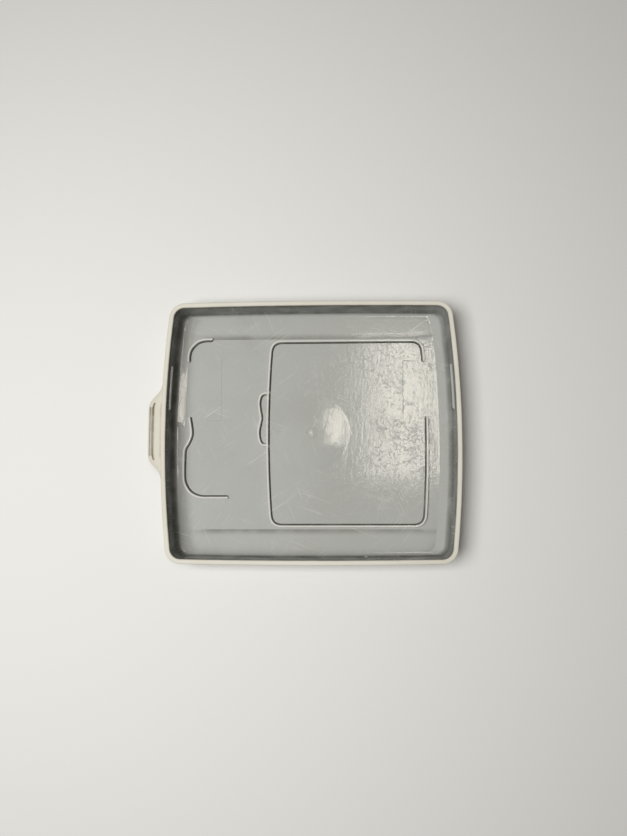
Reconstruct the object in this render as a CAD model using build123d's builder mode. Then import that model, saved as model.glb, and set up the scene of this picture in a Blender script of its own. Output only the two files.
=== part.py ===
"""Shallow tray of a kitchen egg holder: a grey pan under a lift-off cream rim with a pull handle.

The tray lies flat with its open side up. The handle is at -X, the two bowed side walls stand at
-X and +X, the straighter end walls at -Y and +Y. The origin is the centre of the flat underside.
"""

import os

from build123d import *

# ---- pan: inside shape -------------------------------------------------------------------------
inner_width = 199.7          # inside width between the corners, along X
inner_length = 182.2         # inside length between the corners, along Y
side_bow = 5.5               # how far each side wall bows out at its middle
end_bow = 1.05               # how far each end wall bows out at its middle
inner_corner = 8.0           # upright corner radius, inside
depth = 24.0                 # floor to the top of the rim
side_cove = 9.0              # radius between floor and side walls
end_cove = 2.8               # radius between floor and end walls

# ---- pan: material -----------------------------------------------------------------------------
floor_thickness = 2.0
pan_wall = 1.6

# ---- rim frame ---------------------------------------------------------------------------------
rim_clearance = 0.3          # gap between the pan's wall and the rim's skirt
skirt_wall = 1.5
flange_thickness = 1.6
skirt_depth = 7.0            # below the flange
rim_edge_round = 0.6
cut_over = 1.0               # how far cutting shapes run past the faces they cut

# ---- handle ------------------------------------------------------------------------------------
handle_reach = 9.2           # past the rim's outer side
handle_flat = 42.0           # length of its outer edge, between the bends' corners
handle_root = 68.0           # length where it joins the rim
handle_flare_rise = 1.0      # how far the flare has come out before it turns steep
handle_flare_run = 4.5       # how far along the rim it takes for that
handle_bend = 10.0           # radius of the bends at its outer edge
handle_flare_bend = 6.0      # radius of the bends beside the rim
handle_drop = 0.7            # plate's top face below the rim's top face
handle_plate = 1.8
bead_width = 0.9             # each of the two beads along the outer edge
bead_height = 0.6
bead_gap = 0.5
bead_length = 33.0
groove_width = 1.1           # beside the inner bead
groove_depth = 0.6
groove_length = 38.0
handle_rib_wall = 1.2        # two stiffening ribs under the plate
handle_rib_apart = 40.0

# ---- ribs and marks on the floor ---------------------------------------------------------------
rib_width = 1.1
rib_height = 2.4
panel_left = 34.0            # middle of the panel's left rib, to the left of the centre
panel_right = 87.8           # middle of its right rib, to the right of the centre
panel_half_length = 70.6
panel_side_bow = 3.0
panel_corner = 6.0
panel_gap_low = 12.0         # the right rib is missing between these two heights
panel_gap_high = 54.0
notch_middle = 9.8           # finger notch on the panel's left rib
notch_half = 19.4
notch_lobe_half = 11.4
notch_lobe_reach = 6.0
notch_waist_reach = 3.9
upper_arc_left = 95.0
upper_arc_foot = 54.7
upper_arc_top = 72.8
hook_left = 97.2             # hook-shaped rib at the lower left
hook_top = 12.2
hook_top_reach = 1.6         # how far its top end stands to the left of its waist
hook_waist = 92.0
hook_foot = 49.1
hook_radius = 15.0
hook_end = 62.7
hook_end_boss = 1.0          # radius of the round end
crease_place = 72.3          # shallow grooves beside the panel's end ribs
crease_width = 4.0           # it rises back to the floor over this width, away from the centre
crease_depth = 0.35
crease_left = 76.0
crease_right = 92.0
dome_radius = 28.7
dome_height = 1.5
gate_ring_outer = 3.9
gate_ring_wall = 0.5
gate_ring_height = 0.35

# ---- catch ledges high on the side walls --------------------------------------------------------
ledge_below_rim = 7.5
ledge_low = 16.0
ledge_high = 49.3
ledge_reach = 1.5
ledge_height = 1.4

# ---- worked-out sizes ---------------------------------------------------------------------------
rim_top = floor_thickness + depth
pan_top = rim_top - flange_thickness
rim_width = pan_wall + rim_clearance + skirt_wall
skirt_bottom = pan_top - skirt_depth
side_middle = inner_width / 2 + side_bow
side_bow_radius = (inner_length / 2) ** 2 / (2 * side_bow) + side_bow / 2
end_middle = inner_length / 2 + end_bow
end_bow_radius = (inner_width / 2) ** 2 / (2 * end_bow) + end_bow / 2
rib_root = floor_thickness / 2
handle_edge = -side_middle - rim_width - handle_reach
plate_top = rim_top - handle_drop


def outline(grow):
    """Tray outline with bowed walls and round corners, grown outwards by a distance."""
    side_centre = side_middle - side_bow_radius
    end_centre = end_middle - end_bow_radius
    with BuildSketch() as plan:
        with Locations((side_centre, 0)):
            Circle(side_bow_radius + grow)
        with Locations((-side_centre, 0)):
            Circle(side_bow_radius + grow, mode=Mode.INTERSECT)
        with Locations((0, end_centre)):
            Circle(end_bow_radius + grow, mode=Mode.INTERSECT)
        with Locations((0, -end_centre)):
            Circle(end_bow_radius + grow, mode=Mode.INTERSECT)
        fillet(plan.vertices(), radius=inner_corner + grow)
    return plan.sketch


def cove_cutter(wall, radius, bottom, outwards):
    """Section outside a coved lower edge, between the floor level and the wall, facing outwards."""
    foot = (outwards * (wall - radius), bottom)
    shoulder = (outwards * wall, bottom + radius)
    with BuildSketch() as section:
        with BuildLine():
            RadiusArc(foot, shoulder, -outwards * radius)
            Polyline(shoulder, (outwards * (wall + cut_over), bottom + radius),
                     (outwards * (wall + cut_over), bottom - cut_over),
                     (outwards * (wall - radius), bottom - cut_over), foot)
        make_face()
    return section.sketch


def bowl(grow, bottom, top):
    """Solid tray shape from bottom to top with coved lower edges, grown outwards by a distance."""
    wall_x = side_middle + grow
    wall_y = end_middle + grow
    with BuildPart() as shape:
        with BuildSketch(Plane.XY.offset(bottom)):
            add(outline(grow))
        extrude(amount=top - bottom)
        for outwards in (1, -1):
            with BuildSketch(Plane.XZ):
                add(cove_cutter(wall_x, side_cove + grow, bottom, outwards))
            turning_centre = outwards * (side_middle - side_bow_radius)
            revolve(axis=Axis((turning_centre, 0, 0), (0, 0, 1)), mode=Mode.SUBTRACT)
        for outwards in (1, -1):
            with BuildSketch(Plane.YZ):
                add(cove_cutter(wall_y, end_cove + grow, bottom, outwards))
            extrude(amount=wall_x + cut_over, both=True, mode=Mode.SUBTRACT)
    return shape.part


def bowed_x(middle, y):
    """X of a line that stands at middle at y = 0 and bows as the panel's side ribs do."""
    bow = panel_side_bow * (y / panel_half_length) ** 2
    return middle - bow if middle > 0 else middle + bow


def handle_outline(inset):
    """Handle seen from above, from inside the rim to its straight outer edge."""
    half = handle_root / 2
    flat = handle_flat / 2
    root_x = -inner_width / 2
    rim_x = root_x - side_bow * (1 - (handle_root / inner_length) ** 2) - rim_width
    upper = [(root_x, half), (rim_x, half),
             (rim_x - handle_flare_rise, half - handle_flare_run), (handle_edge, flat)]
    lower = [(x, -y) for x, y in reversed(upper)]
    with BuildSketch() as plan:
        with BuildLine():
            Polyline(*upper, *lower, close=True)
        make_face()
        if inset:
            offset(amount=-inset, kind=Kind.INTERSECTION, mode=Mode.REPLACE)
        fillet(plan.vertices().group_by(Axis.X)[1], radius=handle_flare_bend + inset)
        fillet(plan.vertices().group_by(Axis.X)[0], radius=handle_bend - inset)
    return plan.sketch


# ---- pan ------------------------------------------------------------------------------------------
with BuildPart() as pan:
    add(bowl(pan_wall, 0, pan_top))
    add(bowl(0, floor_thickness, pan_top + cut_over), mode=Mode.SUBTRACT)

    # low dome in the middle of the floor
    dome_sphere = (dome_radius ** 2 + dome_height ** 2) / (2 * dome_height)
    with BuildSketch(Plane.XZ):
        with BuildLine():
            Line((0, floor_thickness - rib_root), (0, floor_thickness + dome_height))
            RadiusArc((0, floor_thickness + dome_height), (dome_radius, floor_thickness), dome_sphere)
            Polyline((dome_radius, floor_thickness), (dome_radius, floor_thickness - rib_root),
                     (0, floor_thickness - rib_root))
        make_face()
    revolve(axis=Axis.Z)

    # ring left by the mould's gate, on top of the dome
    with BuildSketch(Plane.XY.offset(floor_thickness)):
        Circle(gate_ring_outer)
        Circle(gate_ring_outer - gate_ring_wall, mode=Mode.SUBTRACT)
    extrude(amount=dome_height + gate_ring_height)

    # shallow creases beside the panel's end ribs
    for end in (1, -1):
        with BuildSketch(Plane.YZ.offset(-crease_left)):
            with BuildLine():
                Polyline((end * crease_place, floor_thickness),
                         (end * crease_place, floor_thickness - crease_depth),
                         (end * (crease_place + crease_width), floor_thickness), close=True)
            make_face()
        extrude(amount=crease_left + crease_right, mode=Mode.SUBTRACT)

    # raised ribs on the floor
    with BuildSketch(Plane.XY.offset(floor_thickness - rib_root)):
        with BuildLine() as panel_line:
            left_end = bowed_x(-panel_left, panel_half_length)
            right_end = bowed_x(panel_right, panel_half_length)
            corners = [(right_end, -panel_half_length), (left_end, -panel_half_length),
                       (left_end, panel_half_length), (right_end, panel_half_length)]
            Line(corners[0], corners[1])
            ThreePointArc(corners[1], (-panel_left, 0), corners[2])
            Line(corners[2], corners[3])
            ThreePointArc(corners[3], (panel_right, 0), corners[0])
            fillet(panel_line.vertices(), radius=panel_corner)
        trace(line_width=rib_width)
        with Locations((panel_right, (panel_gap_low + panel_gap_high) / 2)):
            Rectangle(2 * panel_corner, panel_gap_high - panel_gap_low, mode=Mode.SUBTRACT)
        with BuildLine():
            Spline((-panel_left, notch_middle + notch_half),
                   (-panel_left - notch_lobe_reach, notch_middle + notch_lobe_half),
                   (-panel_left - notch_waist_reach, notch_middle),
                   (-panel_left - notch_lobe_reach, notch_middle - notch_lobe_half),
                   (-panel_left, notch_middle - notch_half), tangents=[(-1, 0), (1, 0)])
        trace(line_width=rib_width)
        with BuildLine():
            JernArc((-upper_arc_left, upper_arc_foot), (0, 1), upper_arc_top - upper_arc_foot, -90)
        trace(line_width=rib_width)
        with BuildLine():
            wave = Spline((-hook_waist - hook_top_reach, hook_top), (-hook_waist, 0),
                          (-hook_left, -hook_radius), tangents=[(0.2, -1), (0, -1)])
            drop = Line(wave @ 1, (-hook_left, hook_radius - hook_foot))
            turn = JernArc(drop @ 1, (0, -1), hook_radius, 90)
            Line(turn @ 1, (-hook_end, -hook_foot))
        trace(line_width=rib_width)
        with Locations((-hook_end, -hook_foot)):
            Circle(hook_end_boss)
    extrude(amount=rib_root + rib_height)

    # catch ledges high on the two side walls
    for side in (1, -1):
        with BuildSketch(Plane.XY.offset(rim_top - ledge_below_rim - ledge_height)):
            with Locations((side * side_middle, (ledge_low + ledge_high) / 2)):
                Rectangle(2 * side_cove, ledge_high - ledge_low)
            add(outline(pan_wall / 2), mode=Mode.INTERSECT)
            add(outline(-ledge_reach), mode=Mode.SUBTRACT)
        extrude(amount=ledge_height)

pan.part.label = "pan"

# ---- rim frame with the handle ---------------------------------------------------------------------
with BuildPart() as rim_frame:
    with BuildSketch(Plane.XY.offset(skirt_bottom)):
        add(outline(rim_width))
    extrude(amount=rim_top - skirt_bottom)
    fillet(rim_frame.faces().sort_by(Axis.Z)[-1].edges(), radius=rim_edge_round)
    with BuildSketch(Plane.XY.offset(skirt_bottom)):
        add(handle_outline(0))
    extrude(amount=plate_top - skirt_bottom)

    # opening over the pan, and the pocket that fits round the pan's wall
    with BuildSketch(Plane.XY.offset(skirt_bottom)):
        add(outline(0))
    extrude(amount=rim_top - skirt_bottom, mode=Mode.SUBTRACT)
    with BuildSketch(Plane.XY.offset(skirt_bottom)):
        add(outline(pan_wall + rim_clearance))
    extrude(amount=skirt_depth, mode=Mode.SUBTRACT)

    # hollow under the handle for the fingers, with two stiffening ribs
    with BuildSketch(Plane.XY.offset(skirt_bottom)):
        add(handle_outline(skirt_wall))
        add(outline(rim_width), mode=Mode.SUBTRACT)
        for rib_y in (handle_rib_apart / 2, -handle_rib_apart / 2):
            with Locations((handle_edge, rib_y)):
                Rectangle(4 * handle_reach, handle_rib_wall, mode=Mode.SUBTRACT)
    extrude(amount=plate_top - handle_plate - skirt_bottom, mode=Mode.SUBTRACT)

    # two beads and a groove along the handle's outer edge
    for bead in (0, 1):
        bead_x = handle_edge + (bead + 0.5) * bead_width + bead * bead_gap
        with BuildSketch(Plane.XY.offset(plate_top - bead_height)):
            with Locations((bead_x, 0)):
                SlotOverall(bead_length, bead_width, rotation=90)
        extrude(amount=2 * bead_height)
    groove_x = handle_edge + 2 * (bead_width + bead_gap) + groove_width / 2
    with BuildSketch(Plane.XY.offset(plate_top - groove_depth)):
        with Locations((groove_x, 0)):
            SlotOverall(groove_length, groove_width, rotation=90)
    extrude(amount=2 * groove_depth, mode=Mode.SUBTRACT)

rim_frame.part.label = "rim_frame"

# ---- one file for each piece -----------------------------------------------------------------------
os.makedirs("parts", exist_ok=True)
export_step(pan.part, "parts/pan.step")
export_step(rim_frame.part, "parts/rim_frame.step")
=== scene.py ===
"""Finish, detail and studio for an egg holder tray: a grey pan under a lift-off cream rim frame."""

import logging
import math
import random
from dataclasses import dataclass
from enum import Enum
from typing import Callable, Sequence

import bpy
import numpy as np
from mathutils import Matrix, Vector


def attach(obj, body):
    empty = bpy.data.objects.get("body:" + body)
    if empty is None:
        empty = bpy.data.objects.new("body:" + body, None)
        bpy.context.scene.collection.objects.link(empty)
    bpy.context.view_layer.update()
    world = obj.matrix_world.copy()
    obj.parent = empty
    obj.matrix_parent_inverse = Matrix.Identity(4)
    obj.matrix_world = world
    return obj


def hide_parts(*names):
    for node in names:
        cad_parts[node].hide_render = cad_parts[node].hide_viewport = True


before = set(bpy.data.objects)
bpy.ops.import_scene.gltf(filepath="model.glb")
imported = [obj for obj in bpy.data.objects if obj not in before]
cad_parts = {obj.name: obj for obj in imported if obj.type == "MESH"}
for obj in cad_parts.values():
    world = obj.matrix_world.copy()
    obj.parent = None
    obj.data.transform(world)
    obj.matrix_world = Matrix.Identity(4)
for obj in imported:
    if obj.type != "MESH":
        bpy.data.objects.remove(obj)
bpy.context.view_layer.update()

LOG = logging.getLogger("egg_tray")
MM = 0.001
PATH_STEP = 0.8  # millimetres between points of a path
BEND_STEPS = 12
END_LEG, MIDDLE_LEG = 0.98, 0.49  # share of a leg that the bend at its end may use up
LEAN_SHIFT = 1.75  # how far a leaning line is moved aside, as a share of its lean
LINE_END = 0.9  # millimetres over which a raised line shrinks towards its end

Point = tuple[float, float, float]


class Body(Enum):
    """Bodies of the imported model."""

    PAN = "pan"
    RIM = "rim_frame"


class Slot(Enum):
    """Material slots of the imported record."""

    PAN = "pan_plastic"
    RIM = "rim_plastic"


def smooth_step(low: float, high: float, value: np.ndarray | float) -> np.ndarray:
    """Ease from 0 at low to 1 at high.

    Args:
        low: value where the result is 0.
        high: value where the result is 1.
        value: number or array to ease.

    Returns:
        The eased share.
    """
    share = np.clip((np.asarray(value, dtype=float) - low) / (high - low), 0.0, 1.0)
    return share * share * (3.0 - 2.0 * share)


# ---- outline


@dataclass(frozen=True)
class BowedOutline:
    """Rounded rectangle with bowed sides, all sizes in millimetres.

    The sides at -X and +X and the ends at -Y and +Y are arcs through the middles given.
    """

    side_middle: float
    end_middle: float
    side_radius: float
    end_radius: float
    corner: float

    def corner_centre(self) -> tuple[float, float]:
        """Return the centre of the corner arc at +X, +Y."""
        side_reach = self.side_radius - self.corner
        end_reach = self.end_radius - self.corner
        side_x = self.side_middle - self.side_radius
        end_y = self.end_middle - self.end_radius
        x, y = self.side_middle - self.corner, self.end_middle - self.corner
        for _ in range(30):
            x = side_x + math.sqrt(side_reach ** 2 - y ** 2)
            y = end_y + math.sqrt(end_reach ** 2 - x ** 2)
        return x, y

    def stations(self, per_side: int, per_end: int, per_corner: int) -> np.ndarray:
        """Walk round the outline, anticlockwise from the middle of the +X side.

        Args:
            per_side: steps along each side.
            per_end: steps along each end.
            per_corner: steps round each corner.

        Returns:
            An array of x, y, outward normal x and outward normal y.
        """
        cx, cy = self.corner_centre()
        side_turn = math.asin(cy / (self.side_radius - self.corner))
        end_turn = math.asin(cx / (self.end_radius - self.corner))
        side_x = self.side_middle - self.side_radius
        end_y = self.end_middle - self.end_radius
        rows = []
        for step in range(per_side // 2):
            turn = side_turn * step / (per_side // 2)
            rows.append(self._on_arc(side_x, 0.0, self.side_radius, turn))
        for step in range(per_corner):
            turn = side_turn + (math.pi / 2 - end_turn - side_turn) * step / per_corner
            rows.append(self._on_arc(cx, cy, self.corner, turn))
        for step in range(per_end // 2):
            turn = math.pi / 2 - end_turn * (1 - step / (per_end // 2))
            rows.append(self._on_arc(0.0, end_y, self.end_radius, turn))
        quarter = np.array(rows)
        top = np.array([self._on_arc(0.0, end_y, self.end_radius, math.pi / 2)])
        mirror = np.array([-1.0, 1.0, -1.0, 1.0])
        upper = np.vstack([quarter, top, (quarter[1:] * mirror)[::-1]])
        left = np.array([[-self.side_middle, 0.0, -1.0, 0.0]])
        flip = np.array([1.0, -1.0, 1.0, -1.0])
        return np.vstack([upper, left, (upper[1:] * flip)[::-1]])

    @staticmethod
    def _on_arc(x: float, y: float, radius: float, turn: float) -> tuple[float, float, float, float]:
        """Return the point and outward normal of an arc at a turn from +X."""
        nx, ny = math.cos(turn), math.sin(turn)
        return x + radius * nx, y + radius * ny, nx, ny


# ---- mesh helpers


def make_piece(name: str, vertices: np.ndarray, faces: Sequence[Sequence[int]],
               sharp_angle: float = 40.0, marks: dict[str, np.ndarray] | None = None) -> bpy.types.Object:
    """Make a smooth-shaded mesh object at the origin.

    Args:
        name: object's name.
        vertices: positions in millimetres.
        faces: vertex numbers of each face, facing outwards.
        sharp_angle: edges that turn by more degrees than this are shaded sharp.
        marks: point values to store on the mesh, by name.

    Returns:
        The new object.
    """
    mesh = bpy.data.meshes.new(name)
    mesh.from_pydata((np.asarray(vertices) * MM).tolist(), [], [list(face) for face in faces])
    mesh.update()
    mesh.shade_smooth()
    mesh.set_sharp_from_angle(angle=math.radians(sharp_angle))
    for mark, values in (marks or {}).items():
        layer = mesh.attributes.new(mark, "FLOAT", "POINT")
        layer.data.foreach_set("value", np.asarray(values, dtype=np.float32))
    piece = bpy.data.objects.new(name, mesh)
    bpy.context.scene.collection.objects.link(piece)
    return piece


def ring_faces(rings: int, around: int, closed: bool = False) -> list[tuple[int, int, int, int]]:
    """Join rings of vertices, each of the same count, into faces.

    Args:
        rings: number of rings.
        around: vertices in a ring.
        closed: whether the last ring joins the first.

    Returns:
        Faces that look outwards when the rings climb and the vertices run anticlockwise.
    """
    faces = []
    for ring in range(rings if closed else rings - 1):
        low, high = ring * around, ((ring + 1) % rings) * around
        for k in range(around):
            after = (k + 1) % around
            faces.append((low + k, low + after, high + after, high + k))
    return faces


def loft_faces(base: int, rows: int, per: int) -> list[tuple[int, ...]]:
    """Join rows of section points into sides and cap both ends.

    Args:
        base: number of the first vertex.
        rows: number of rows.
        per: points in a row.

    Returns:
        The faces of a closed bar.
    """
    faces: list[tuple[int, ...]] = []
    for row in range(rows - 1):
        for n in range(per):
            a, b = base + row * per + n, base + row * per + (n + 1) % per
            faces.append((a, a + per, b + per, b))
    near = tuple(base + n for n in range(per))
    far = tuple(base + (rows - 1) * per + n for n in range(per))
    return [*faces, near, far[::-1]]


def blob(middle: Point, reach: Point, uneven: float, seed: int) -> tuple[np.ndarray, list[tuple[int, ...]]]:
    """Make a small rounded lump with an uneven surface.

    Args:
        middle: its centre in millimetres.
        reach: half sizes along x, y and z.
        uneven: how uneven it is, as a share of its size.
        seed: number that fixes the unevenness.

    Returns:
        Vertices and faces of a closed lump.
    """
    rows, around = 12, 24
    dice = random.Random(seed)
    waves = [(dice.uniform(1, 3), dice.uniform(0, 6), dice.uniform(1, 4)) for _ in range(4)]
    vertices = []
    for row in range(1, rows):
        tilt = math.pi * (row / rows - 0.5)
        for step in range(around):
            turn = 2 * math.pi * step / around
            bulge = sum(math.sin(round(n) * turn + phase) * math.cos(m * tilt) for n, phase, m in waves)
            size = 1 + uneven * bulge / 4
            vertices.append((middle[0] + reach[0] * size * math.cos(tilt) * math.cos(turn),
                             middle[1] + reach[1] * size * math.cos(tilt) * math.sin(turn),
                             middle[2] + reach[2] * math.sin(tilt) ** 3 * 0.4
                             + reach[2] * 0.6 * math.sin(tilt)))
    faces: list[tuple[int, ...]] = list(ring_faces(rows - 1, around))
    low, high = len(vertices), len(vertices) + 1
    vertices += [(middle[0], middle[1], middle[2] - reach[2]), (middle[0], middle[1], middle[2] + reach[2])]
    for step in range(around):
        after = (step + 1) % around
        faces.append((low, after, step))
        faces.append(((rows - 2) * around + step, (rows - 2) * around + after, high))
    return np.array(vertices), faces


def dress(piece: bpy.types.Object, material: bpy.types.Material, body: Body, slot: Slot,
          *replaced: str) -> None:
    """Give a finished piece its material and body.

    Args:
        piece: mesh object at the origin.
        material: its finish.
        body: the body that carries it.
        slot: record slot of its finish; not used.
        replaced: CAD nodes that it stands for.
    """
    piece.data.materials.clear()
    piece.data.materials.append(material)
    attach(piece, body.value)
    if replaced:
        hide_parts(*replaced)
    LOG.info("%s: %d faces, rides on %s", piece.name, len(piece.data.polygons), body.value)


def rounded_path(points: Sequence[tuple[float, float]], radius: float,
                 step: float = PATH_STEP) -> np.ndarray:
    """Round the bends of a path and space its points evenly.

    Args:
        points: corners of the path in millimetres.
        radius: bend radius, made smaller where a leg is too short for it.
        step: distance between points.

    Returns:
        An array of x and y.
    """
    legs = [Vector(p) for p in points]
    count = len(legs)
    out: list[Vector] = []
    for k, here in enumerate(legs):
        if k in (0, count - 1):
            out.append(here)
            continue
        before, after = legs[k - 1] - here, legs[k + 1] - here
        half = before.angle(after) / 2
        free_before = END_LEG if k == 1 else MIDDLE_LEG
        free_after = END_LEG if k == count - 2 else MIDDLE_LEG
        reach = min(radius / math.tan(half), free_before * before.length, free_after * after.length)
        start, end = here + before.normalized() * reach, here + after.normalized() * reach
        for n in range(BEND_STEPS + 1):
            share = n / BEND_STEPS
            out.append(start * (1 - share) ** 2 + here * 2 * share * (1 - share) + end * share ** 2)
    line = np.array([tuple(p) for p in out])
    gone = np.concatenate([[0.0], np.cumsum(np.hypot(*np.diff(line, axis=0).T))])
    marks = np.linspace(0.0, gone[-1], max(2, int(gone[-1] / step)) + 1)
    return np.column_stack([np.interp(marks, gone, line[:, 0]), np.interp(marks, gone, line[:, 1])])


def spline_path(points: Sequence[tuple[float, float]], step: float = PATH_STEP) -> np.ndarray:
    """Draw a smooth path through points.

    Args:
        points: places the path passes, in millimetres.
        step: distance between points of the result.

    Returns:
        An array of x and y.
    """
    ends = [np.array(p, dtype=float) for p in points]
    ends = [2 * ends[0] - ends[1], *ends, 2 * ends[-1] - ends[-2]]
    out = []
    for a, b, c, d in zip(ends, ends[1:], ends[2:], ends[3:]):
        count = max(2, int(np.linalg.norm(c - b) / step))
        for n in range(count):
            s = n / count
            out.append(0.5 * (2 * b + (c - a) * s + (2 * a - 5 * b + 4 * c - d) * s ** 2
                              + (3 * b - a - 3 * c + d) * s ** 3))
    out.append(ends[-2])
    return np.array(out)


# ---- node graphs


class Graph:
    """Small helper that adds and links nodes in one tree."""

    def __init__(self, tree: bpy.types.NodeTree) -> None:
        self.tree = tree

    def add(self, kind: str, inputs: dict[str | int, object] | None = None,
            **settings: object) -> bpy.types.Node:
        """Add a node.

        Args:
            kind: node type.
            inputs: a value or a socket for each input, by name or number.
            **settings: the node's own settings.

        Returns:
            The new node.
        """
        node = self.tree.nodes.new(kind)
        for name, value in settings.items():
            setattr(node, name, value)
        for key, value in (inputs or {}).items():
            socket = node.inputs[key]
            if isinstance(value, bpy.types.NodeSocket):
                self.tree.links.new(value, socket)
            else:
                socket.default_value = value
        return node

    def math(self, operation: str, first: object, second: object = 0.0,
             clamp: bool = False) -> bpy.types.NodeSocket:
        """Add a math node and return its result."""
        node = self.add("ShaderNodeMath", {0: first, 1: second}, operation=operation, use_clamp=clamp)
        return node.outputs[0]

    def ramp(self, value: bpy.types.NodeSocket, low: float, high: float,
             to_low: float = 0.0, to_high: float = 1.0) -> bpy.types.NodeSocket:
        """Ease a value from one range to another and return the result."""
        node = self.add("ShaderNodeMapRange", {"Value": value, "From Min": low, "From Max": high,
                                               "To Min": to_low, "To Max": to_high},
                        interpolation_type="SMOOTHSTEP")
        return node.outputs[0]

    def mix(self, share: object, first: object, second: object) -> bpy.types.NodeSocket:
        """Mix two colours and return the result."""
        node = self.add("ShaderNodeMix", data_type="RGBA")
        for index, value in ((0, share), (6, first), (7, second)):
            socket = node.inputs[index]
            if isinstance(value, bpy.types.NodeSocket):
                self.tree.links.new(value, socket)
            else:
                socket.default_value = value
        return node.outputs[2]

    def noise(self, where: bpy.types.NodeSocket, scale: float, detail: float = 2.0,
              roughness: float = 0.5, distortion: float = 0.0) -> bpy.types.NodeSocket:
        """Add a noise texture and return its value."""
        node = self.add("ShaderNodeTexNoise", {"Vector": where, "Scale": scale, "Detail": detail,
                                               "Roughness": roughness, "Distortion": distortion})
        return node.outputs[0]

    def stretched(self, where: bpy.types.NodeSocket, turn: float, along: float,
                  across: float) -> bpy.types.NodeSocket:
        """Turn coordinates and scale them differently along and across, for streaks."""
        turned = self.add("ShaderNodeMapping", {"Vector": where, "Rotation": (0.0, 0.0, turn)})
        sized = self.add("ShaderNodeMapping", {"Vector": turned.outputs[0],
                                               "Scale": (along, across, along)})
        return sized.outputs[0]


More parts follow.
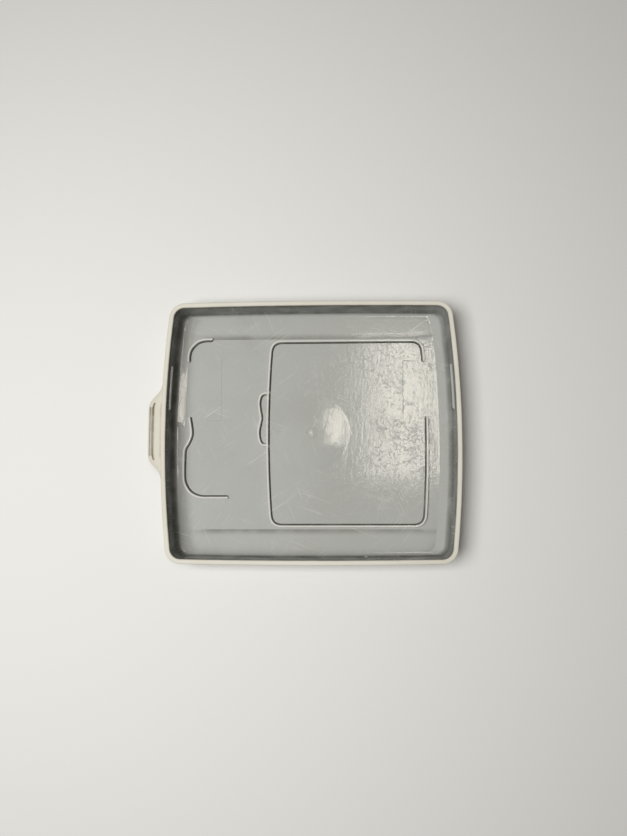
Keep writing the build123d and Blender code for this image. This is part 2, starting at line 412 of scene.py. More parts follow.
@dataclass(frozen=True)
class PlasticFinish:
    """One moulded plastic with its stains and scratches, plus painted shade and painted highlights read
    from point attributes.
    """

    name: str
    colour: tuple[float, float, float]
    tint: tuple[float, float, float]
    # dark colour for painted shade, and for real soiling in the handle's groove
    grime_and_shade: tuple[float, float, float]
    # pale colour for the painted highlight along the rib crests and for the pale gate stub
    pale_highlight_colour: tuple[float, float, float]
    roughness: float
    specular: float
    scratch_share: float
    scuff_share: float
    grain: float
    ripple: float
    seed: float

    def build(self) -> bpy.types.Material:
        """Build the material.

        Returns:
            A node material that reads object coordinates.
        """
        material = bpy.data.materials.new(self.name)
        material.use_nodes = True
        material.node_tree.nodes.clear()
        g = Graph(material.node_tree)
        coords = g.add("ShaderNodeTexCoord").outputs["Object"]
        where = g.add("ShaderNodeMapping", {"Vector": coords,
                                            "Location": (self.seed, self.seed * 0.7, 0.0)}).outputs[0]
        broad = g.noise(where, 9.0, 3.0, 0.55)
        mottle = g.noise(where, 60.0, 4.0, 0.6)
        fine = g.noise(where, 900.0, 2.0, 0.6)
        colour = g.mix(g.ramp(broad, 0.35, 0.7, 0.0, 0.8), (*self.colour, 1.0), (*self.tint, 1.0))
        stain = g.math("MULTIPLY", g.ramp(g.noise(where, 22.0, 5.0, 0.62, 0.6), 0.56, 0.78),
                       g.ramp(mottle, 0.35, 0.65))
        # The point attribute read here is mostly painted shade: on the pan's walls, coves, floor corners,
        # creases and rib flanks and along the rim's edges, with real soiling as well in the handle's
        # groove. The stain noise added to it is real staining.
        grime_and_shade_mark = g.add("ShaderNodeAttribute", attribute_name="grime_and_shade").outputs["Fac"]
        grime_and_shade = g.math("ADD", g.math("MULTIPLY", grime_and_shade_mark, g.ramp(mottle, 0.3, 0.62, 0.55, 1.0)),
                       g.math("MULTIPLY", stain, 0.16), clamp=True)
        colour = g.mix(grime_and_shade, colour, (*self.grime_and_shade, 1.0))
        # The pale point attribute read here is a painted highlight along the rib crests; it also paints the
        # gate stub pale all over.
        pale_highlight = g.add("ShaderNodeAttribute", attribute_name="pale_highlight").outputs["Fac"]
        colour = g.mix(pale_highlight, colour, (*self.pale_highlight_colour, 1.0))
        scratches = self._scratches(g, where)
        scuffs = g.math("MULTIPLY", g.ramp(g.noise(where, 130.0, 6.0, 0.7, 1.4), 0.52, 0.7),
                        g.ramp(g.noise(where, 16.0, 2.0), 0.45, 0.66), clamp=True)
        pits = g.math("MULTIPLY", g.ramp(g.noise(where, 640.0, 3.0, 0.65, 0.9), 0.57, 0.64),
                      g.ramp(g.noise(where, 30.0, 2.0), 0.4, 0.58), clamp=True)
        colour = g.mix(g.math("MULTIPLY", scratches, 0.6 * self.scratch_share), colour,
                       (0.78, 0.78, 0.75, 1.0))
        rough = g.math("ADD", g.ramp(mottle, 0.3, 0.7, self.roughness * 0.85, self.roughness * 1.2),
                       g.math("MULTIPLY", scuffs, 0.32 * self.scuff_share))
        rough = g.math("ADD", rough, g.math("MULTIPLY", scratches, 0.2 * self.scratch_share), clamp=True)
        rough = g.math("ADD", rough, g.math("MULTIPLY", pits, 0.3 * self.scuff_share), clamp=True)
        ripple = g.noise(g.stretched(where, 0.06, 420.0, 95.0), 1.0, 4.0, 0.6, 0.4)
        height = g.math("ADD", g.math("MULTIPLY", fine, self.grain),
                        g.math("MULTIPLY", scratches, -0.35 * self.scratch_share))
        height = g.math("ADD", height, g.math("MULTIPLY", ripple, self.ripple))
        height = g.math("ADD", height, g.math("MULTIPLY", scuffs, -0.5 * self.scuff_share))
        height = g.math("ADD", height, g.math("MULTIPLY", pits, -0.9 * self.scuff_share))
        bump = g.add("ShaderNodeBump", {"Strength": 0.6, "Distance": 0.0001, "Height": height})
        # Specular is cut where shade and stains are painted, so painted shade dims reflections as well.
        shader = g.add("ShaderNodeBsdfPrincipled", {
            "Base Color": colour, "Roughness": rough, "IOR": 1.5,
            "Specular IOR Level": g.ramp(grime_and_shade, 0.0, 0.7, self.specular, 0.1 * self.specular),
            "Normal": bump.outputs[0]})
        g.add("ShaderNodeOutputMaterial", {"Surface": shader.outputs[0]})
        return material

    def _scratches(self, g: Graph, where: bpy.types.NodeSocket) -> bpy.types.NodeSocket:
        """Fine scratches in several directions, kept to patches."""
        total: bpy.types.NodeSocket | None = None
        for turn, along, across, patch in ((0.35, 22.0, 2600.0, 31.0), (1.15, 30.0, 3100.0, 24.0),
                                           (-0.6, 18.0, 2300.0, 38.0), (2.2, 45.0, 3600.0, 45.0)):
            streak = g.noise(g.stretched(where, turn, along, across), 1.0, 1.0, 0.4, 0.25)
            kept = g.ramp(g.noise(where, patch, 1.0), 0.45, 0.62)
            layer = g.math("MULTIPLY", g.ramp(streak, 0.70, 0.76), kept)
            total = layer if total is None else g.math("MAXIMUM", total, layer)
        return total


# ---- raised lines by geometry nodes


@dataclass(frozen=True)
class LineSection:
    """Cross-section of a raised line, in millimetres; the lean moves its top to the right of its path."""

    base_width: float
    top_width: float
    height: float
    edge_round: float
    sunk: float = 0.3
    lean: float = 0.0


class RaisedLines:
    """Geometry node group that runs a rounded rib section along paths."""

    def __init__(self) -> None:
        self.group = bpy.data.node_groups.new("raised line", "GeometryNodeTree")
        face = self.group.interface
        face.new_socket("Geometry", in_out="INPUT", socket_type="NodeSocketGeometry")
        for name in ("Base Width", "Top Width", "Height", "Lean", "Edge Round", "End Shrink"):
            face.new_socket(name, in_out="INPUT", socket_type="NodeSocketFloat")
        face.new_socket("Material", in_out="INPUT", socket_type="NodeSocketMaterial")
        face.new_socket("Geometry", in_out="OUTPUT", socket_type="NodeSocketGeometry")
        g = Graph(self.group)
        given = g.add("NodeGroupInput").outputs
        line = g.add("GeometryNodeMeshToCurve", {"Mesh": given["Geometry"]}).outputs[0]
        line = g.add("GeometryNodeSetCurveNormal", {"Curve": line}, mode="Z_UP").outputs[0]
        share = g.add("GeometryNodeSplineParameter").outputs["Length"]
        total = g.add("GeometryNodeSplineLength").outputs["Length"]
        to_end = g.math("MINIMUM", share, g.math("SUBTRACT", total, share))
        near = g.math("MULTIPLY", g.ramp(to_end, 0.0, LINE_END * MM, 1.0, 0.0), given["End Shrink"])
        radius = g.math("SUBTRACT", 1.0, near)
        section = g.add("GeometryNodeCurvePrimitiveQuadrilateral",
                        {"Height": given["Height"], "Bottom Width": given["Base Width"],
                         "Top Width": given["Top Width"], "Offset": given["Lean"]},
                        mode="TRAPEZOID").outputs[0]
        section = g.add("GeometryNodeFilletCurve", {"Curve": section, "Count": 3,
                                                    "Radius": given["Edge Round"],
                                                    "Limit Radius": True}, mode="POLY").outputs[0]
        aside = g.add("ShaderNodeCombineXYZ", {0: g.math("MULTIPLY", given["Lean"], LEAN_SHIFT)}).outputs[0]
        section = g.add("GeometryNodeTransform", {"Geometry": section, "Translation": aside,
                                                  "Rotation": (0.0, 0.0, math.pi)}).outputs[0]
        run = g.add("GeometryNodeCurveToMesh", {"Curve": line, "Profile Curve": section,
                                                "Fill Caps": True})
        if "Scale" in run.inputs:
            self.group.links.new(radius, run.inputs["Scale"])
        whole = g.add("GeometryNodeRealizeInstances", {"Geometry": run.outputs[0]}).outputs[0]
        whole = g.add("GeometryNodeSetShadeSmooth", {"Geometry": whole, "Shade Smooth": True}).outputs[0]
        whole = g.add("GeometryNodeSetMaterial", {"Geometry": whole,
                                                  "Material": given["Material"]}).outputs[0]
        g.add("NodeGroupOutput", {"Geometry": whole})

    def run(self, name: str, paths: Sequence[np.ndarray], section: LineSection,
            material: bpy.types.Material, height_at: Callable[[np.ndarray], np.ndarray],
            closed: bool = False, end_shrink: float = 0.25) -> bpy.types.Object:
        """Run the section along paths that lie on a surface.

        Args:
            name: name of the new object.
            paths: x and y along each path, in millimetres.
            section: cross-section of the line.
            material: its finish.
            height_at: height of the surface for an array of x and y.
            closed: whether each path is a loop.
            end_shrink: how much smaller the section gets at the ends, as a share.

        Returns:
            A plain mesh object.
        """
        vertices: list[np.ndarray] = []
        edges: list[tuple[int, int]] = []
        centre = (section.height - section.sunk) / 2
        for path in paths:
            base, count = len(vertices), len(path)
            heights = height_at(path) + centre
            vertices += [np.array([x, y, z]) for (x, y), z in zip(path, heights)]
            edges += [(base + k, base + k + 1) for k in range(count - 1)]
            if closed:
                edges.append((base + count - 1, base))
        mesh = bpy.data.meshes.new(name + " path")
        mesh.from_pydata([tuple(v * MM) for v in vertices], edges, [])
        piece = bpy.data.objects.new(name, mesh)
        bpy.context.scene.collection.objects.link(piece)
        step = piece.modifiers.new("raised line", "NODES")
        step.node_group = self.group
        values = {"Base Width": section.base_width * MM, "Top Width": section.top_width * MM,
                  "Height": (section.height + section.sunk) * MM, "Lean": section.lean * MM,
                  "Edge Round": section.edge_round * MM,
                  "End Shrink": end_shrink, "Material": material}
        for item in self.group.interface.items_tree:
            if item.item_type == "SOCKET" and item.in_out == "INPUT" and item.name in values:
                step[item.identifier] = values[item.name]
        return self._made_plain(piece)

    @staticmethod
    def _made_plain(piece: bpy.types.Object) -> bpy.types.Object:
        """Swap the live modifier for the mesh that it makes."""
        bpy.context.view_layer.update()
        ready = piece.evaluated_get(bpy.context.evaluated_depsgraph_get())
        mesh = bpy.data.meshes.new_from_object(ready)
        piece.modifiers.clear()
        path = piece.data
        piece.data = mesh
        mesh.name = piece.name
        bpy.data.meshes.remove(path)
        mesh.set_sharp_from_angle(angle=math.radians(50))
        return piece


# ---- the pan

WALL_LINE = BowedOutline(105.35, 92.15, 757.2, 4748.0, 8.0)


@dataclass
class Pan:
    """The grey pan: coved tray with a low dome, ribs and moulding marks on its floor."""

    line: BowedOutline = WALL_LINE
    floor: float = 2.0
    top: float = 24.4
    wall: float = 1.6
    side_cove: float = 9.0
    end_cove: float = 2.8
    floor_corner: float = 6.5
    foot_rise: float = 4.8
    outer_rise: float = 6.0
    foot_slope: float = 0.15
    steeper: float = 0.085
    steep_part: tuple[float, float, float, float] = (7.0, 8.2, 40.0, 54.0)
    # Span in x where the lifter mark is painted darker.
    darker_mark_span: tuple[float, float] = (66.0, 72.0)
    # Strengths of painted shade: inner walls, extra on the left wall, the floor creases, the floor corners
    # and the rib flanks.
    wall_shade: float = 0.63
    left_wall_shade: float = 0.2
    crease_shade: float = 0.6
    corner_shade: float = 0.4
    flank_shade: float = 1.7
    panel_bend: float = 9.8
    gate_ring_radius: float = 3.65
    dome_radius: float = 28.7
    dome_height: float = 1.5
    crease_place: float = 72.3
    crease_depth: float = 0.2
    rib: LineSection = LineSection(2.75, 1.3, 2.4, 0.2, 0.3, -0.62)
    gate_ring: LineSection = LineSection(0.8, 0.45, 0.4, 0.12)
    hair: LineSection = LineSection(0.5, 0.24, 0.16, 0.06, 0.12)

    def floor_height(self, where: np.ndarray) -> np.ndarray:
        """Height of the floor's top face.

        Args:
            where: array whose first two columns are x and y in millimetres.

        Returns:
            The heights in millimetres.
        """
        x, y = where[:, 0], where[:, 1]
        out = np.hypot(x, y)
        ball = (self.dome_radius ** 2 + self.dome_height ** 2) / (2 * self.dome_height)
        dome = np.sqrt(np.maximum(ball ** 2 - out ** 2, 0)) - (ball - self.dome_height)
        height = self.floor + np.maximum(dome, 0.0)
        beyond = np.abs(y) - self.crease_place
        groove = smooth_step(-0.25, 0.35, beyond) * (1 - smooth_step(0.3, 5.2, beyond))
        left = np.where(y > 0, -76.0, -90.0)
        right = np.where(y > 0, 92.0, 82.0)
        groove *= smooth_step(left - 4, left + 5, x) * (1 - smooth_step(right - 5, right + 4, x))
        height -= self.crease_depth * groove * (1 - 0.85 * smooth_step(-20, 50, x))
        sag = 0.035 * (np.sin(x / 17 + 0.4) * np.cos(y / 23 - 0.8) + 0.6 * np.sin(y / 11 + x / 29))
        return height + sag * (1 - smooth_step(84, 88, np.abs(y))) * (1 - smooth_step(90, 95, np.abs(x)))

    @staticmethod
    def _cove_shares() -> list[float]:
        """Where the rings of the coves lie, from the wall to the floor, as shares of their reach."""
        upper = [0.6 + 0.4 * math.sin(turn) for turn in np.linspace(math.pi / 2, 0, 12)]
        return upper + [0.5, 0.4, 0.3, 0.2, 0.13, 0.08, 0.04, 0.015]

    def _sloped_foot(self, share: float, slope: np.ndarray) -> np.ndarray:
        """Height of the side walls' foot: a gentle slope, then a tight bend into the wall.

        Args:
            share: place between the floor at 0 and the wall at 1.
            slope: how steep the gentle part is at each station.

        Returns:
            The heights above the floor in millimetres.
        """
        gentle = slope * self.side_cove * share * float(smooth_step(-0.08, 0.12, share))
        bend = max(0.0, (share - 0.6) / 0.4)
        return gentle + (self.foot_rise - slope * self.side_cove) * (1 - math.sqrt(1 - bend ** 2))

    @staticmethod
    def _floor_shares() -> list[float]:
        """Where the floor's rings lie, from the coves to the middle, as shares of its size."""
        steps = [*np.linspace(1.0, 0.905, 6), *np.linspace(0.9, 0.775, 36), *np.linspace(0.76, 0.36, 20),
                 *np.linspace(0.345, 0.012, 30)]
        return [float(s) for s in steps]

    def shell(self) -> tuple[np.ndarray, list[tuple[int, ...]], np.ndarray]:
        """Build the pan's closed shell.

        Returns:
            Vertices, faces and the painted shade of each vertex.
        """
        spread = (104, 96, 16)
        edge = self.line.stations(*spread)
        toe_line = BowedOutline(self.line.side_middle - self.side_cove,
                                self.line.end_middle - self.end_cove,
                                self.line.side_radius - self.side_cove,
                                self.line.end_radius - self.end_cove, self.floor_corner)
        toe = toe_line.stations(*spread)[:, :2]
        inner = edge[:, :2]
        outer = inner + edge[:, 2:] * self.wall
        sideways = smooth_step(0.15, 0.85, np.abs(edge[:, 2]))
        rise = self.end_cove + (self.outer_rise - self.end_cove) * sideways
        rings, grime_and_shade = [], []

        def ring(plan: np.ndarray, height: np.ndarray | float, darkening: np.ndarray | float) -> None:
            heights = np.broadcast_to(np.asarray(height, dtype=float), (len(plan),))
            rings.append(np.column_stack([plan, heights]))
            grime_and_shade.append(np.broadcast_to(np.asarray(darkening, dtype=float), (len(plan),)))

        for share in (0.02, 0.2, 0.45, 0.7, 0.9, 1.0):
            ring(toe * share, 0.0, 0.0)
        for turn in np.linspace(0, math.pi / 2, 9)[1:]:
            ring(toe + (outer - toe) * math.sin(turn), (rise + self.wall) * (1 - math.cos(turn)), 0.0)
        for height in (14.0, 17.5, 21.0, self.top - 0.15):
            ring(outer, height, 0.0)
        ring(outer - edge[:, 2:] * 0.15, self.top, 0.0)
        # Painted shade on the inner walls: strongest at the top, extra on the left wall that faces away
        # from the key lamp, fading out down the coves.
        ring(inner + edge[:, 2:] * 0.15, self.top, 0.2)
        wall_shade_paint = self.wall_shade + self.left_wall_shade * smooth_step(0.3, 0.9, -edge[:, 2])
        for height, darkening in ((self.top - 0.15, 0.4), (22.8, 0.2), (20.0, 0.05), (15.5, 0.0)):
            ring(inner, height, darkening + wall_shade_paint)
        start, full, fading, gone = self.steep_part
        insert = smooth_step(start, full, inner[:, 1]) * (1 - smooth_step(fading, gone, inner[:, 1]))
        slope = self.foot_slope + self.steeper * insert
        for share in self._cove_shares():
            plan = toe + (inner - toe) * share
            round_foot = self.end_cove * (1 - math.sqrt(max(0.0, 1 - share ** 2)))
            climb = round_foot + (self._sloped_foot(share, slope) - round_foot) * sideways
            ring(plan, self.floor + climb, wall_shade_paint * (0.06 + 0.94 * smooth_step(0.6, 0.9, share)))
        # Painted shade in the floor's corners, along the foot of the coves and in a line along each crease.
        for share in self._floor_shares():
            plan = toe * share
            corner = smooth_step(118, 132, np.hypot(plan[:, 0], plan[:, 1]))
            beyond = np.abs(plan[:, 1]) - self.crease_place
            line = self.crease_shade * smooth_step(-0.3, 0.1, beyond) * (1 - smooth_step(0.0, 5.0, beyond))
            line *= smooth_step(-100, -70, plan[:, 0]) * (1 - 0.2 * smooth_step(-30, 60, plan[:, 0]))
            ring(plan, self.floor_height(plan),
                 self.corner_shade * corner + 0.06 * smooth_step(0.9, 1.0, share) + line)
        count = len(edge)
        faces: list[tuple[int, ...]] = list(ring_faces(len(rings), count))
        vertices = np.vstack(rings)
        values = np.concatenate(grime_and_shade)
        under, middle = len(vertices), len(vertices) + 1
        centre = self.floor_height(np.array([[0.0, 0.0]]))[0]
        vertices = np.vstack([vertices, [[0, 0, 0], [0, 0, centre]]])
        values = np.concatenate([values, [0, 0]])
        last = (len(rings) - 1) * count
        for k in range(count):
            after = (k + 1) % count
            faces.append((under, after, k))
            faces.append((last + k, last + after, middle))
        return vertices, faces, values

    def panel_path(self) -> np.ndarray:
        """Line of the big panel rib, open at its right side."""
        def bowed(middle: float, y: float) -> float:
            bow = 3.0 * (y / 70.6) ** 2
            return middle - bow if middle > 0 else middle + bow

        rights = [(bowed(87.8, y), y) for y in (12.0, -10.0, -30.0, -50.0)]
        lefts = [(bowed(-34.0, y), y) for y in (-50.0, -30.0, -10.0, 10.0, 30.0, 50.0)]
        corners = ((84.8, -70.4), (-31.0, -70.4), (-31.0, 70.8), (84.8, 70.8))
        points = [*rights, corners[0], corners[1], *lefts, corners[2], corners[3],
                  (bowed(87.8, 54.1), 54.1)]
        return rounded_path(points, self.panel_bend)

    def ribs(self, lines: RaisedLines, material: bpy.types.Material) -> None:
        """Add the raised ribs of the floor.

        Args:
            lines: the node group that draws them.
            material: the pan's finish.
        """
        notch = spline_path([(-33.2, 30.9), (-35.6, 30.8), (-38.6, 29.2), (-40.0, 26.1), (-40.5, 22.2),
                             (-40.0, 17.4), (-39.05, 11.5), (-39.75, 7.1), (-40.7, 2.2), (-40.7, -1.8),
                             (-39.95, -5.7), (-38.5, -8.6), (-36.1, -9.75), (-33.2, -9.9)])
        arc = spline_path([(-94.7, 54.7), (-94.9, 58.6), (-93.9, 63.6), (-91.4, 67.6), (-87.2, 71.1),
                           (-82.0, 72.6), (-75.9, 72.8)])
        hook = spline_path([(-93.6, 12.2), (-92.1, 3.0), (-92.1, -2.0), (-94.2, -7.2), (-96.8, -12.0),
                            (-97.3, -20.0), (-97.2, -33.5), (-95.6, -39.8), (-91.3, -45.6),
                            (-84.0, -48.8), (-74.0, -49.1), (-62.9, -49.1)])
        paths = [self.panel_path()[::-1], notch, arc[::-1], hook]
        ribs = lines.run("floor_ribs", paths, self.rib, material,
                         lambda where: np.full(len(where), self.floor))
        # Painted shade on the ribs' inner flanks and a painted highlight on their crests.
        self._shade_flanks(ribs, paths)
        dress(ribs, material, Body.PAN, Slot.PAN)

    def _shade_flanks(self, ribs: bpy.types.Object, paths: Sequence[np.ndarray]) -> None:
        """Paint shade on the flank of each rib that faces the middle of the tray, and a highlight along its
        crest.

        Args:
            ribs: the finished ribs.
            paths: their paths, with the tray's middle on the left.
        """
        line = np.vstack(paths)
        ahead = np.vstack([np.gradient(path, axis=0) for path in paths])
        ahead /= np.linalg.norm(ahead, axis=1)[:, None]
        places = np.empty(len(ribs.data.vertices) * 3)
        ribs.data.vertices.foreach_get("co", places)
        places = places.reshape(-1, 3) / MM
        near = np.array([np.argmin((line[:, 0] - x) ** 2 + (line[:, 1] - y) ** 2) for x, y, _ in places])
        off = places[:, :2] - line[near]
        left = ahead[near, 0] * off[:, 1] - ahead[near, 1] * off[:, 0]
        crest = places[:, 2] > self.floor + self.rib.height - 0.03
        edge = np.percentile(left[crest], 85)
        # Painted shade on the flank that faces the middle; painted highlight along the crest.
        marks = self.flank_shade * smooth_step(edge + 0.04, edge + 0.24, left)
        pale_highlight = smooth_step(3.6, 4.1, places[:, 2]) * (1 - smooth_step(edge - 0.05, edge + 0.05, left))
        for mark, values in (("grime_and_shade", marks), ("pale_highlight", pale_highlight)):
            layer = ribs.data.attributes.new(mark, "FLOAT", "POINT")
            layer.data.foreach_set("value", values.astype(np.float32))

    def marks(self, lines: RaisedLines, material: bpy.types.Material) -> None:
        """Add the gate ring and the lifter marks.

        Args:
            lines: the node group that draws them.
            material: the pan's finish.
        """
        turns = np.linspace(0, 2 * math.pi, 65)[:-1]
        circle = self.gate_ring_radius * np.column_stack([np.cos(turns), np.sin(turns)])
        ring = lines.run("gate_ring", [circle], self.gate_ring, material, self.floor_height,
                         closed=True, end_shrink=0.0)
        dress(ring, material, Body.PAN, Slot.PAN)
        hairs = [[(-69.2, 56.0), (-69.0, 9.5), (-79.4, 9.5)], [(69.4, 10.6), (69.8, 55.1), (81.0, 55.1)],
                 [(84.7, 51.4), (95.4, 51.4)], [(-69.0, 9.5), (-60.5, 9.3)]]
        paths = [rounded_path(points, 0.4, step=1.2) for points in hairs]
        marks = lines.run("lifter_marks", paths, self.hair, material, self.floor_height)
        # The right lifter mark is painted darker than the others.
        across = np.array([point.co.x for point in marks.data.vertices]) / MM
        darker_layer = marks.data.attributes.new("grime_and_shade", "FLOAT", "POINT")
        near, far = self.darker_mark_span
        right_mark = np.where((across > near) & (across < far), 0.8, 0.0)
        darker_layer.data.foreach_set("value", right_mark.astype(np.float32))
        dress(marks, material, Body.PAN, Slot.PAN)

    def lumps(self, material: bpy.types.Material) -> None:
        """Add the broken gate stub on the dome and the pip at the foot of the lower end wall."""
        crown = self.floor + self.dome_height
        places, faces = blob((0.1, 0.2, crown), (1.8, 1.4, 0.9), 0.5, 5)
        # The gate stub is painted pale all over.
        stub = make_piece("gate_stub", places, faces, 60, {"pale_highlight": np.ones(len(places))})
        dress(stub, material, Body.PAN, Slot.PAN)
        wall_y = -self.line.end_middle
        pip = make_piece("wall_pip", *blob((40.7, wall_y + 0.25, 5.4), (1.7, 1.0, 2.2), 0.1, 8), 60)
        dress(pip, material, Body.PAN, Slot.PAN)

    def ledges(self, material: bpy.types.Material) -> None:
        """Add the two long catch ledges high on the side walls."""
        section = [(0.5, 18.5), (0.2, 18.5), (-1.35, 18.4), (-1.5, 18.2), (-1.5, 17.75), (-1.35, 17.55),
                   (0.0, 16.3), (0.5, 15.9)]
        spans = np.linspace(16.0, 49.3, 41)
        vertices, faces = [], []
        for side in (1, -1):
            base = len(vertices)
            for y in spans:
                wall_x = self.line.side_middle - self.line.side_radius \
                    + math.sqrt(self.line.side_radius ** 2 - y ** 2)
                end = min(1.0, 0.25 + min(y - spans[0], spans[-1] - y) / 1.2)
                for reach, height in section:
                    out = reach * end if reach < 0 else reach
                    vertices.append((side * (wall_x + out), y, height))
            bar = loft_faces(base, len(spans), len(section))
            faces += bar if side > 0 else [face[::-1] for face in bar]
        ledges = make_piece("catch_ledges", np.array(vertices), faces, 50)
        dress(ledges, material, Body.PAN, Slot.PAN)

    def build(self, lines: RaisedLines, material: bpy.types.Material) -> None:
        """Build every piece of the pan.

        Args:
            lines: the node group for raised lines.
            material: the pan's finish.
        """
        vertices, faces, grime_and_shade = self.shell()
        shell = make_piece("pan_shell", vertices, faces, 60, {"grime_and_shade": grime_and_shade})
        dress(shell, material, Body.PAN, Slot.PAN, "pan")
        self.ribs(lines, material)
        self.marks(lines, material)
        self.lumps(material)
        self.ledges(material)


# ---- the rim frame


@dataclass
class RimFrame:
    """The cream rim that caps the pan's wall, with a skirt outside and a pull handle at -X."""

    line: BowedOutline = WALL_LINE
    top: float = 26.0
    flange: float = 1.6
    width: float = 3.4
    skirt_bottom: float = 17.4
    pocket: float = 1.9
    edge_round: float = 0.6
    handle_reach: float = 9.2
    handle_drop: float = 0.7
    plate: float = 1.8
    handle_half: float = 35.2
    handle_bend: float = 12.0
    bead_half: float = 17.0
    groove_half: float = 20.3
    stiffener_place: float = 20.0
    skirt: float = 1.5

    def rim(self) -> tuple[np.ndarray, list[tuple[int, ...]], np.ndarray]:
        """Build the rim's closed band.

        Returns:
            Vertices, faces and the painted shade of each vertex.
        """
        top, low, r = self.top, self.skirt_bottom, self.edge_round
        # The third number of each section point is painted shade: a dark line round the outer rounding,
        # shade under the flange and in the pocket, and more towards the inner edge.
        section = [(self.width - 0.15, low, 0.2), (self.width, low + 0.15, 0.2),
                   (self.width, low + 4.0, 0.1)]
        for turn in np.linspace(0, math.pi / 2, 6):
            section.append((self.width - r + r * math.cos(turn), top - r + r * math.sin(turn),
                            0.6 - 0.5 * math.sin(turn)))
        section.append((self.width / 2, top + 0.02, 0.0))
        for turn in np.linspace(math.pi / 2, math.pi, 6):
            section.append((r + r * math.cos(turn), top - r + r * math.sin(turn),
                            0.12 - 0.35 * math.cos(turn)))
        under = top - self.flange
        section += [(0.0, under + 0.1, 0.9), (0.1, under, 0.9), (self.pocket - 0.2, under, 0.3),
                    (self.pocket, under - 0.2, 0.3), (self.pocket, low + 0.15, 0.3),
                    (self.pocket + 0.15, low, 0.2)]
        edge = self.line.stations(104, 96, 20)
        rings = [np.column_stack([edge[:, :2] + edge[:, 2:] * out, np.full(len(edge), height)])
                 for out, height, _ in section]
        grime_and_shade = np.concatenate([np.full(len(edge), darkening) for _, _, darkening in section])
        return np.vstack(rings), list(ring_faces(len(rings), len(edge), closed=True)), grime_and_shade

    def rim_side(self, y: float) -> float:
        """X of the rim's outer side at -X for a height y on the plan."""
        radius = self.line.side_radius + self.width
        return -(self.line.side_middle - self.line.side_radius + math.sqrt(radius ** 2 - y ** 2))

    def handle_edge(self) -> tuple[np.ndarray, np.ndarray]:
        """Outer line of the handle: distances from its middle along the rim, and x there."""
        rim_x = self.rim_side(34.0)
        out_x = -(self.line.side_middle + self.width + self.handle_reach)
        corners = [(0.0, out_x), (20.6, out_x), (30.4, rim_x - 0.9), (36.5, rim_x + 0.3)]
        line = rounded_path(corners, self.handle_bend, step=0.2)
        return line[:, 0], line[:, 1]

    def handle(self) -> tuple[np.ndarray, list[tuple[int, ...]], np.ndarray]:
        """Build the handle as a hollow plate with two beads and a groove along its outer edge.

        Returns:
            Vertices, faces and the darkness of each vertex: painted shade, with real soiling too in the
            groove.
        """
        top, low = self.top - self.handle_drop, self.skirt_bottom
        along, out_x = self.handle_edge()
        half = self.handle_half
        spans = np.concatenate([np.linspace(-half, -22.5, 34), np.linspace(-22.2, -17.2, 26),
                                np.linspace(-16.8, 16.8, 40), np.linspace(17.2, 22.2, 26),
                                np.linspace(22.5, half, 34)])
        profile = [(0.0, low + 0.2), (0.0, top - 0.35), (0.1, top - 0.12), (0.3, top)]
        vertices, grime_and_shade = [], []
        for y in spans:
            edge_x = float(np.interp(abs(y), along, out_x))
            inner_x = self.rim_side(y) + 0.8
            room = max(inner_x - edge_x, 0.9)
            bead = float(1 - smooth_step(self.bead_half, self.bead_half + 1.3, abs(y)))
            dip = float(1 - smooth_step(self.groove_half, self.groove_half + 1.0, abs(y)))
            # The third number of each point is painted darkness: painted shade at the outer edge, between
            # the beads and at the plate's inner edge against the rim, and painted shade with real soiling
            # down the groove.
            row = [(out, height, 0.3) for out, height in profile]
            for start in (0.35, 1.75):
                for share in np.linspace(0, 1, 9):
                    lift = 0.6 * math.sin(math.pi * share) ** 0.7 if 0 < share < 1 else 0.0
                    row.append((start + 0.9 * share, top + lift * bead,
                                0.15 + 0.75 * bead * (2 * share - 1) ** 4))
            for share, depth, darkening in ((0.0, 0.0, 0.3), (0.12, 0.0, 0.6), (0.3, 0.5, 1.0), (0.5, 0.6, 1.0),
                                       (0.7, 0.5, 1.0), (0.88, 0.0, 0.6), (1.0, 0.0, 0.3)):
                row.append((2.75 + 1.5 * share, top - depth * dip, darkening * dip + 0.08))
            for share in (0.15, 0.45, 0.75):
                row.append((4.4 + share * (9.0 - 4.4), top, 0.05))
            row.append((9.15, top, 0.5))
            fitted = [(min(out, room - 0.3), height, darkening) for out, height, darkening in row]
            hollow = max(0.05, min(room - 0.85, self.handle_reach) - self.skirt)
            roof = top - self.plate
            fitted += [(room, top, 0.3), (room, roof - 0.4, 0.0), (room - 0.1, roof - 0.45, 0.0),
                       (min(self.skirt + hollow, room - 0.15), roof, 0.0),
                       (min(self.skirt, room - 0.2), roof, 0.0),
                       (min(self.skirt, room - 0.2), low + 0.2, 0.0),
                       (min(self.skirt - 0.2, room - 0.25), low, 0.0), (0.2, low, 0.0)]
            for out, height, darkening in fitted:
                vertices.append((edge_x + out, y, height))
                grime_and_shade.append(darkening)
        per = len(vertices) // len(spans)
        faces: list[tuple[int, ...]] = []
        for k in range(len(spans) - 1):
            for n in range(per):
                a, b = k * per + n, k * per + (n + 1) % per
                faces.append((a, b, b + per, a + per))
        faces.append(tuple(range(per))[::-1])
        faces.append(tuple((len(spans) - 1) * per + n for n in range(per)))
        return np.array(vertices), faces, np.array(grime_and_shade)

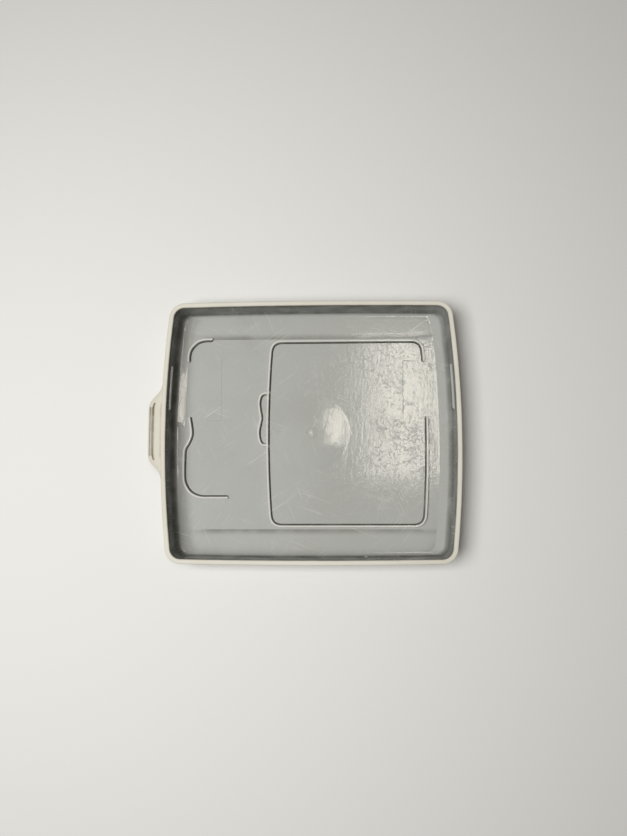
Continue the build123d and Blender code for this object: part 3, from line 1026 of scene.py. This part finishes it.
    def stiffeners(self) -> tuple[np.ndarray, list[tuple[int, ...]]]:
        """Build the two stiffening ribs under the handle's plate."""
        vertices, faces = [], []
        roof, low = self.top - self.handle_drop - self.plate + 0.2, self.skirt_bottom
        along, out_x = self.handle_edge()
        rows = 6
        for y in (self.stiffener_place, -self.stiffener_place):
            edge_x = float(np.interp(abs(y), along, out_x)) + self.skirt - 0.3
            rim_x = self.rim_side(y) + 0.3
            base = len(vertices)
            lines = [(-0.6, low + 0.15), (-0.45, low), (0.45, low), (0.6, low + 0.15), (0.75, roof),
                     (-0.75, roof)]
            for x in np.linspace(edge_x, rim_x, rows):
                vertices += [(x, y + off, height) for off, height in lines]
            faces += loft_faces(base, rows, len(lines))
        return np.array(vertices), faces

    def build(self, material: bpy.types.Material) -> None:
        """Build every piece of the rim frame.

        Args:
            material: the rim's finish.
        """
        vertices, faces, grime_and_shade = self.rim()
        rim = make_piece("rim_band", vertices, faces, 50, {"grime_and_shade": grime_and_shade})
        dress(rim, material, Body.RIM, Slot.RIM, "rim_frame")
        vertices, faces, grime_and_shade = self.handle()
        handle = make_piece("handle_plate", vertices, faces, 45, {"grime_and_shade": grime_and_shade})
        dress(handle, material, Body.RIM, Slot.RIM)
        vertices, faces = self.stiffeners()
        dress(make_piece("handle_stiffeners", vertices, faces, 45), material, Body.RIM, Slot.RIM)


# ---- studio


@dataclass(frozen=True)
class Panel:
    """A rectangular lamp over the table: sizes in metres, strength in watts."""

    name: str
    place: Point
    aim: Point
    size: tuple[float, float]
    strength: float
    colour: tuple[float, float, float]
    mirrored: bool

    def build(self) -> bpy.types.Object:
        """Add the lamp and return it."""
        data = bpy.data.lights.new(self.name, "AREA")
        data.shape = "RECTANGLE"
        data.size, data.size_y = self.size
        data.energy = self.strength
        data.color = self.colour
        lamp = bpy.data.objects.new(self.name, data)
        lamp.location = self.place
        lamp.rotation_euler = (Vector(self.aim) - Vector(self.place)).to_track_quat("-Z", "Y").to_euler()
        lamp.visible_glossy = self.mirrored
        bpy.context.scene.collection.objects.link(lamp)
        return lamp


@dataclass
class Studio:
    """Pale floor, soft lamps, dim surroundings and the camera."""

    eye: Point = (0.01567, -0.03337, 0.4766)
    forward: Point = (-0.0296, 0.0937, -0.9952)
    up: Point = (0.0051, 0.9956, 0.0935)
    lens: float = 27.04
    lamps: tuple[Panel, ...] = (
        Panel("key lamp", (-0.3, -0.05, 0.82), (0.0, 0.0, 0.0), (0.46, 0.46), 7.7,
              (1.0, 0.985, 0.955), False),
        Panel("window", (0.2475, 0.1825, 1.5), (0.2475, 0.1825, 0.0), (0.221, 0.445), 3.05,
              (1.0, 0.925, 0.81), True),
    )

    def build(self) -> None:
        """Add everything round the tray."""
        scene = bpy.context.scene
        mesh = bpy.data.meshes.new("floor")
        span = 3.0
        mesh.from_pydata([(-span, -span, 0), (span, -span, 0), (span, span, 0), (-span, span, 0)], [],
                         [(0, 1, 2, 3)])
        floor = bpy.data.objects.new("floor", mesh)
        scene.collection.objects.link(floor)
        floor.data.materials.append(self._floor_finish())
        for lamp in self.lamps:
            lamp.build()
        world = bpy.data.worlds.new("surroundings")
        world.use_nodes = True
        back = world.node_tree.nodes["Background"]
        back.inputs[0].default_value = (0.9, 0.95, 1.0, 1.0)
        back.inputs[1].default_value = 0.025
        scene.world = world
        camera_data = bpy.data.cameras.new("camera")
        camera_data.lens = self.lens
        camera_data.sensor_width = 36.0
        camera_data.clip_start = 0.01
        camera = bpy.data.objects.new("camera", camera_data)
        back_way = -Vector(self.forward).normalized()
        right = Vector(self.up).cross(back_way).normalized()
        upward = back_way.cross(right)
        turn = Matrix((right, upward, back_way)).transposed()
        camera.matrix_world = Matrix.Translation(self.eye) @ turn.to_4x4()
        scene.collection.objects.link(camera)
        scene.camera = camera
        scene.view_settings.view_transform = "Standard"

    @staticmethod
    def _floor_finish() -> bpy.types.Material:
        """Matte pale floor."""
        material = bpy.data.materials.new("pale floor")
        material.use_nodes = True
        shader = material.node_tree.nodes["Principled BSDF"]
        shader.inputs["Base Color"].default_value = (0.74, 0.74, 0.73, 1.0)
        shader.inputs["Roughness"].default_value = 0.9
        shader.inputs["Specular IOR Level"].default_value = 0.1
        return material


PAN_FINISH = PlasticFinish(
    name="grey pan plastic", colour=(0.418, 0.43, 0.415), tint=(0.38, 0.388, 0.368),
    grime_and_shade=(0.11, 0.107, 0.095), pale_highlight_colour=(0.6, 0.6, 0.57), roughness=0.075, specular=0.5,
    scratch_share=1.0, scuff_share=1.0, grain=0.05, ripple=1.4, seed=1.7)
RIM_FINISH = PlasticFinish(
    name="cream rim plastic", colour=(0.69, 0.675, 0.61), tint=(0.62, 0.6, 0.51),
    grime_and_shade=(0.2, 0.175, 0.13), pale_highlight_colour=(0.78, 0.77, 0.71), roughness=0.38, specular=0.4,
    scratch_share=1.0, scuff_share=0.5, grain=0.12, ripple=0.2, seed=4.9)


def main() -> None:
    """Build the finished tray and its studio."""
    logging.basicConfig(level=logging.INFO)
    pan_plastic = PAN_FINISH.build()
    rim_plastic = RIM_FINISH.build()
    Pan().build(RaisedLines(), pan_plastic)
    RimFrame().build(rim_plastic)
    Studio().build()


if __name__ == "__main__":
    main()
